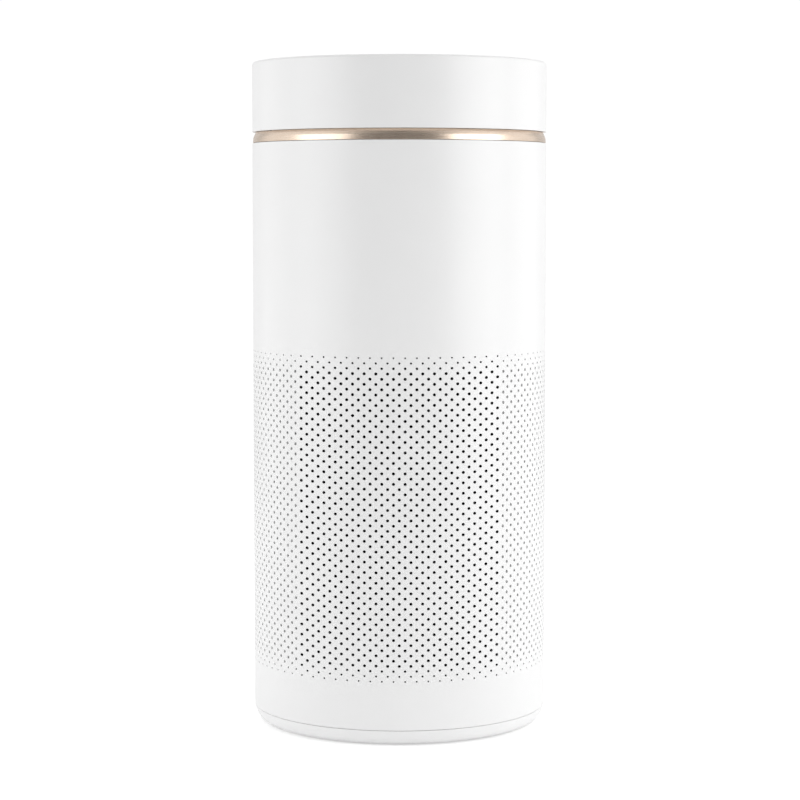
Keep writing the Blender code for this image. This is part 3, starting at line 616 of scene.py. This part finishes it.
def build_door():
    """The rear door's curved panel, cut from the same lattice, with its pegs and magnet holders."""
    every = make_columns()
    columns = every[DOOR_FROM:DOOR_TO + 1]
    lines = lines_between(every)[DOOR_FROM:DOOR_TO + 2]
    seam = math.degrees(SEAM / RADIUS)
    lines[0] = tuple(angle + seam for angle in lines[0])
    lines[-1] = tuple(angle - seam for angle in lines[-1])
    skin = Skin(columns, lines)
    for column in range(len(columns)):
        skin.lattice(column)
        skin.plain_cell(column, DOOR_LOW.z, LATTICE_BOTTOM)
        skin.plain_cell(column, LATTICE_TOP, DOOR_HIGH.z)
    dress(new_object("door_panel", skin.mesh("door_panel")), "rear_door", replaces=("rear_door",))
    fittings = bmesh.new()
    turns = [math.tau * step / 24 for step in range(24)]
    for side in (-1, 1):
        x = side * PEG_X
        rings = []
        for size, y in ((0.0020, 0.0500), (0.0030, 0.0512), (0.0030, 0.0728)):
            rings.append([(x + size * math.cos(turn), y, PEG_HEIGHT + size * math.sin(turn))
                          for turn in turns])
        add_loft(fittings, rings)
        outline = soften(rectangle(0.1253, INNER + 0.0002, *MAGNET_HEIGHTS), 0.0006)
        rings = [[around(r, side * angle, z) for r, z in outline] for angle in MAGNET_ANGLES]
        add_loft(fittings, rings)
    dress(shaded("door_fittings", fittings), "rear_door")


# The casing's other pieces


def build_base_tray():
    """The rounded base moulding, with the feet's holes and the screws' posts."""
    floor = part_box("base_tray")[0].z
    outline = [(0.0, floor), (0.1180, floor)]
    outline += arc((0.1220, 0.0170), (0.0099, 0.0170 - floor), -90, -12, 24)
    outline += [(0.1318, 0.0137), (0.1315, 0.0140), (0.1290, 0.0140), (0.1290, 0.0190), (0.1267, 0.0190)]
    outline += [(0.1267, 0.0080), (0.1220, 0.0037), (0.0, 0.0037)]
    tray = bmesh.new()
    add_turned(tray, outline)
    holes = bmesh.new()
    for angle in SCREW_ANGLES:
        place = around(SCREW_CIRCLE, angle)
        add_turned(holes, rectangle(0.0, SCREW_HOLE_RADIUS, -0.001, 0.006), 32, place.xy)
    for angle in FEET.values():
        place = around(FOOT_CIRCLE, angle)
        add_turned(holes, rectangle(0.0, FOOT_HOLE_RADIUS, -0.001, 0.006), 32, place.xy)
    tray = cut(tray, holes)
    post = [(SCREW_HOLE_RADIUS, floor + 0.0004), (0.0065, floor + 0.0004), (0.0065, 0.0340), (0.0022, 0.0340),
            (0.0022, 0.0098), (SCREW_HOLE_RADIUS, 0.0098)]
    for angle in SCREW_ANGLES:
        add_turned(tray, soften(post, 0.0003), 32, around(SCREW_CIRCLE, angle).xy)
    standing_for("base_tray", tray)


def build_feet():
    """Rubber feet: a dished pad with a stem up into the tray."""
    outline = [(0.0, 0.0002), (0.0060, 0.0002), (0.0062, 0.0), (0.0096, 0.0), (0.0106, 0.0004),
               (0.0110, 0.0009), (0.0047, 0.0009), (0.0047, 0.0052), (0.0, 0.0052)]
    for name, angle in FEET.items():
        foot = bmesh.new()
        add_turned(foot, outline, SMALL_SIDES, around(FOOT_CIRCLE, angle).xy)
        standing_for(name, foot)


def build_trim_ring():
    """The metal band: its face stands up from the casing and leans in under the head."""
    bottom, top = (corner.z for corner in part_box("trim_ring"))
    outline = [(0.1311, bottom), (0.1314, bottom + 0.0001), (0.1315, bottom + 0.0004)]
    outline += [(0.1312, bottom + 0.0038)]
    outline += arc((0.1262, bottom + 0.0034), (0.0050, 0.0050), 6, 25, 10)
    outline += [(0.1289, top), (0.1213, top), (0.1213, bottom)]
    ring = bmesh.new()
    add_turned(ring, outline, 2 * SIDES)
    standing_for("trim_ring", ring)


def build_head_ring():
    """The plain white head: an outer wall, a rounded rim and an inner wall with the grille's ledge."""
    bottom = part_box("head_ring")[0].z
    outline = [(RADIUS - 0.0004, bottom)]
    outline += arc((RADIUS - 0.0004, bottom + 0.0004), (0.0004, 0.0004), -60, 0, 3)
    outline += arc((RADIUS - 0.0025, HEIGHT - 0.0025), (0.0025, 0.0025), 0, 90, 12)
    outline += arc((0.1220, HEIGHT - 0.0020), (0.0020, 0.0020), 90, 175, 10)
    outline += [(0.1193, LEDGE_HEIGHT), (0.1150, LEDGE_HEIGHT), (0.1150, LEDGE_HEIGHT - WALL)]
    outline += [(0.1216, LEDGE_HEIGHT - WALL), (0.1224, HEIGHT - 0.0028), (0.1290, HEIGHT - 0.0028)]
    ring = bmesh.new()
    add_turned(ring, outline + [(0.1290, bottom)])
    standing_for("head_ring", ring)


def build_outlet_grille():
    """Two rings joined by upright slats with rounded edges."""
    bottom, top = LEDGE_HEIGHT + 0.0004, LEDGE_HEIGHT + 0.0065
    grille = bmesh.new()
    add_turned(grille, soften(rectangle(0.1135, 0.1188, bottom, top), 0.0006, 4))
    add_turned(grille, soften(rectangle(0.0585, 0.0615, bottom, top), 0.0006, 4))
    section = soften([(-0.0008, bottom + 0.0004), (0.0008, bottom + 0.0004), (0.0008, top - 0.0004),
                      (-0.0008, top - 0.0004)], 0.0005)
    for index in range(SLATS):
        middle = 360 * (index + 0.5) / SLATS
        outward = around(1.0, middle)
        across = Vector((-outward.y, outward.x, 0.0))
        rings = []
        for radius in (0.0612, 0.1138):
            rings.append([outward * radius + across * offset + Vector((0, 0, height))
                          for offset, height in section])
        add_loft(grille, rings)
    standing_for("outlet_grille", grille)


def circle_stroke(radius, start, end, steps=28):
    """Points along part of a circle round the middle of a key."""
    turns = [math.radians(start + (end - start) * step / steps) for step in range(steps + 1)]
    return [(radius * math.cos(turn), radius * math.sin(turn)) for turn in turns]


def blade_stroke(start):
    """One curved blade of a small fan."""
    points = ((0.0010, 0.0), (0.0024, 0.35), (0.0034, 1.0))
    return [(radius * math.cos(start + turn), radius * math.sin(start + turn)) for radius, turn in points]


KEY_MARKS = {
    "power_key": [circle_stroke(0.0027, 125, 415), [(0.0, 0.0006), (0.0, 0.0036)]],
    "speed_key": [circle_stroke(0.0010, 0, 360)] + [blade_stroke(math.tau * step / 3) for step in range(3)],
    "mode_key": [circle_stroke(0.0030, 30, 150), circle_stroke(0.0030, 210, 330),
                 circle_stroke(0.0009, 0, 360)],
    "timer_key": [circle_stroke(0.0031, 0, 360), [(0.0, 0.0020), (0.0, 0.0), (0.0015, -0.0008)]],
}


def build_controls():
    """The panel, the display and the four keys with their marks."""
    outline = [(LENS_RADIUS + GAP, PANEL_TOP), (0.0572, PANEL_TOP), (0.0582, 0.5860), (0.0582, 0.5785)]
    outline += [(0.0560, 0.5785), (0.0560, PANEL_UNDER), (LENS_RADIUS + GAP, PANEL_UNDER)]
    panel, holes = bmesh.new(), bmesh.new()
    add_turned(panel, soften(outline, 0.0005))
    rim = KEY_RADIUS + 0.0005
    cutter = [(0.0, 0.5800), (rim, 0.5800), (rim, 0.5866), (rim + 0.0004, 0.5871), (rim + 0.0004, 0.5900)]
    for angle in KEY_ANGLES.values():
        add_turned(holes, cutter + [(0.0, 0.5900)], SMALL_SIDES, around(KEY_CIRCLE, angle).xy)
    standing_for("control_panel", cut(panel, holes))
    lens = bmesh.new()
    outline = [(0.0, 0.5836), (LENS_RADIUS, 0.5836), (LENS_RADIUS, 0.5868), (0.0307, 0.5872)]
    add_turned(lens, outline + [(0.0300, 0.5874), (0.0, 0.5876)])
    standing_for("display_lens", lens)
    for name, angle in KEY_ANGLES.items():
        place = around(KEY_CIRCLE, angle)
        key = bmesh.new()
        outline = [(0.0, 0.5719), (0.0020, 0.5719), (0.0020, 0.5810), (0.0083, 0.5810), (0.0083, 0.5830)]
        outline += [(KEY_RADIUS, 0.5830), (KEY_RADIUS, 0.5878), (KEY_RADIUS - 0.0003, 0.5882)]
        outline += [(KEY_RADIUS - 0.0008, 0.5884), (KEY_RADIUS - 0.0018, 0.5883), (0.0, 0.5881)]
        add_turned(key, outline, SMALL_SIDES, place.xy)
        standing_for(name, key)
        mark = bmesh.new()
        for stroke in KEY_MARKS[name]:
            add_strip(mark, [place + Vector((*point, 0.0)) for point in stroke], 0.0006, 0.5880, 0.58845)
        dress(shaded(name.replace("key", "mark"), mark), name, slot="dark_plastic")


def build_filter():
    """The filter's caps, layers and seal, as smooth turned pieces, and the loop that it is pulled out by."""
    for node, inner in (("prefilter_mesh", 0.0948), ("hepa_media", 0.0723), ("carbon_sleeve", 0.0660),
                        ("filter_seal", 0.0660), ("filter_bottom_cap", 0.0)):
        low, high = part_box(node)
        layer = bmesh.new()
        add_turned(layer, soften(rectangle(inner, high.x, low.z, high.z), 0.0006))
        standing_for(node, layer)
    low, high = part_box("filter_top_cap")
    groove = high.z - 0.0008
    cap = bmesh.new()
    outline = [(FILTER_BORE, low.z), (FILTER_RADIUS, low.z), (FILTER_RADIUS, high.z), (0.0935, high.z)]
    outline += [(0.0930, groove), (0.0850, groove), (0.0845, high.z), (FILTER_BORE, high.z)]
    add_turned(cap, soften(outline, 0.0006))
    outer = soften([(-0.0200, 0.0900), (0.0200, 0.0900), (0.0200, 0.1100), (-0.0200, 0.1100)], 0.0040, 6)
    inner = soften([(-0.0150, 0.0980), (0.0150, 0.0980), (0.0150, 0.1060), (-0.0150, 0.1060)], 0.0030, 6)
    loop = []
    for far, near in zip(outer, inner):
        loop.append([(*far, 0.3205), (*near, 0.3205), (*near, 0.3245), (*far, 0.3245)])
    add_loft(cap, loop, closed=True)
    standing_for("filter_top_cap", cap)


# The rest: the CAD shapes with their edges broken and their round faces smooth


def refine(node, edge=0.0003):
    """A CAD node's own shape with rounded edges and smooth round faces."""
    bm = bmesh.new()
    bm.from_mesh(frame["nodes"][node].data)
    bmesh.ops.remove_doubles(bm, verts=bm.verts, dist=1e-6)
    bmesh.ops.dissolve_limit(bm, angle_limit=math.radians(0.5), verts=bm.verts, edges=bm.edges)
    sharp = [item for item in bm.edges if item.is_manifold and item.calc_face_angle(0.0) > math.radians(35)]
    bmesh.ops.bevel(bm, geom=sharp, offset=edge, segments=2, profile=0.5, affect="EDGES", clamp_overlap=True)
    standing_for(node, bm)


# The stage


def disc_mesh(name, height):
    disc = bmesh.new()
    bmesh.ops.create_circle(disc, cap_ends=True, radius=FLOOR_RADIUS, segments=SIDES)
    bmesh.ops.translate(disc, verts=disc.verts, vec=(0.0, 0.0, height))
    mesh = bpy.data.meshes.new(name)
    disc.to_mesh(mesh)
    disc.free()
    return mesh


def light_no_piece(obj):
    """Shows a stage piece to the camera only, so that it neither lights the object nor shades it."""
    obj.visible_diffuse = False
    obj.visible_glossy = False
    obj.visible_transmission = False
    obj.visible_shadow = False


def build_stage():
    """A round matt floor, and a faint glow over it that runs it into the white backdrop."""
    floor = disc_mesh("floor", 0.0)
    made, tree, shader = node_material("pale_floor", roughness=0.9)
    tree.links.new(blend_colours(tree, noise(tree, 3.0), (0.90, 0.90, 0.90), (0.91, 0.91, 0.91)),
                   shader.inputs["Base Color"])
    shader.inputs["Specular IOR Level"].default_value = 0.0
    shader.inputs["Emission Color"].default_value = (1.0, 1.0, 1.0, 1.0)
    shader.inputs["Emission Strength"].default_value = FLOOR_GLOW
    floor.materials.append(made)
    new_object("floor", floor)
    glow = disc_mesh("floor_glow", 0.0002)
    made, tree, shader = node_material("floor_glow")
    tree.nodes.remove(shader)
    clear = tree.nodes.new("ShaderNodeBsdfTransparent")
    light = tree.nodes.new("ShaderNodeEmission")
    light.inputs["Strength"].default_value = FLOOR_GLOW
    both = tree.nodes.new("ShaderNodeAddShader")
    tree.links.new(clear.outputs["BSDF"], both.inputs[0])
    tree.links.new(light.outputs["Emission"], both.inputs[1])
    tree.links.new(both.outputs["Shader"], tree.nodes["Material Output"].inputs["Surface"])
    glow.materials.append(made)
    light_no_piece(new_object("floor_glow", glow))


def build_backdrop():
    """A white dome far round the set. The studio round it does the lighting."""
    dome = bmesh.new()
    bmesh.ops.create_uvsphere(dome, u_segments=48, v_segments=24, radius=BACKDROP_RADIUS)
    mesh = bpy.data.meshes.new("backdrop")
    dome.to_mesh(mesh)
    dome.free()
    made, tree, shader = node_material("white_backdrop", roughness=1.0)
    shader.inputs["Base Color"].default_value = (0.0, 0.0, 0.0, 1.0)
    shader.inputs["Specular IOR Level"].default_value = 0.0
    shader.inputs["Emission Color"].default_value = (1.0, 1.0, 1.0, 1.0)
    shader.inputs["Emission Strength"].default_value = BACKDROP_GLOW
    mesh.materials.append(made)
    light_no_piece(new_object("backdrop", mesh))


def build_world():
    """A white studio, dark round the camera and in a thin ring at the back, and brighter on the right."""
    world = bpy.data.worlds.new("studio")
    bpy.context.scene.world = world
    world.use_nodes = True
    tree = world.node_tree
    where = tree.nodes.new("ShaderNodeTexCoord")
    squash = tree.nodes.new("ShaderNodeVectorMath")
    squash.operation = "MULTIPLY"
    squash.inputs[1].default_value = (1.0, 1.0, STUDIO_TALL)
    tree.links.new(where.outputs["Generated"], squash.inputs[0])
    level = tree.nodes.new("ShaderNodeVectorMath")
    level.operation = "NORMALIZE"
    tree.links.new(squash.outputs["Vector"], level.inputs[0])
    split = tree.nodes.new("ShaderNodeSeparateXYZ")
    tree.links.new(level.outputs["Vector"], split.inputs[0])
    depth = tree.nodes.new("ShaderNodeMapRange")
    depth.inputs["From Min"].default_value = -1.0
    tree.links.new(split.outputs["Y"], depth.inputs["Value"])
    ramp = tree.nodes.new("ShaderNodeValToRGB")
    ramp.color_ramp.interpolation = "B_SPLINE"
    stops = ramp.color_ramp.elements
    while len(stops) < len(STUDIO):
        stops.new(0.5)
    for stop, (y, strength) in zip(stops, STUDIO):
        stop.position = (y + 1) / 2
        stop.color = (strength, strength, strength, 1.0)
    tree.links.new(depth.outputs["Result"], ramp.inputs["Fac"])
    side = tree.nodes.new("ShaderNodeMapRange")
    side.inputs["From Min"].default_value = -1.0
    side.inputs["To Min"].default_value, side.inputs["To Max"].default_value = STUDIO_SIDES
    tree.links.new(split.outputs["X"], side.inputs["Value"])
    background = tree.nodes["Background"]
    tree.links.new(ramp.outputs["Color"], background.inputs["Color"])
    tree.links.new(side.outputs["Result"], background.inputs["Strength"])


def build_lights():
    """Two large soft boxes, in front of the object and to each side."""
    x, y, z = SOFT_BOX_PLACE
    for name, x in (("left_box", -x), ("right_box", x)):
        data = bpy.data.lights.new(name, "AREA")
        data.shape = "RECTANGLE"
        data.size, data.size_y = SOFT_BOX_SIZE
        data.energy = SOFT_BOX_POWER[name]
        light = bpy.data.objects.new(name, data)
        light.location = (x, y, z)
        aim = Vector(SOFT_BOX_AIM) - light.location
        light.rotation_euler = aim.to_track_quat("-Z", "Y").to_euler()
        bpy.context.scene.collection.objects.link(light)


def build_camera():
    data = bpy.data.cameras.new("camera")
    data.sensor_width = 36.0
    data.lens = CAMERA_LENS
    data.clip_end = 50.0
    camera = bpy.data.objects.new("camera", data)
    camera.location = CAMERA_PLACE
    camera.rotation_euler = (math.radians(90.0 - CAMERA_DOWN), 0.0, 0.0)
    bpy.context.scene.collection.objects.link(camera)
    bpy.context.scene.camera = camera
    bpy.context.scene.view_settings.view_transform = "Standard"


def main():
    build_camera()
    build_stage()
    build_backdrop()
    build_world()
    build_lights()
    build_casing()
    build_door()
    build_base_tray()
    build_feet()
    build_trim_ring()
    build_head_ring()
    build_outlet_grille()
    build_controls()
    build_filter()
    for node in sorted(set(frame["nodes"]) - STOOD_FOR):
        refine(node)


main()
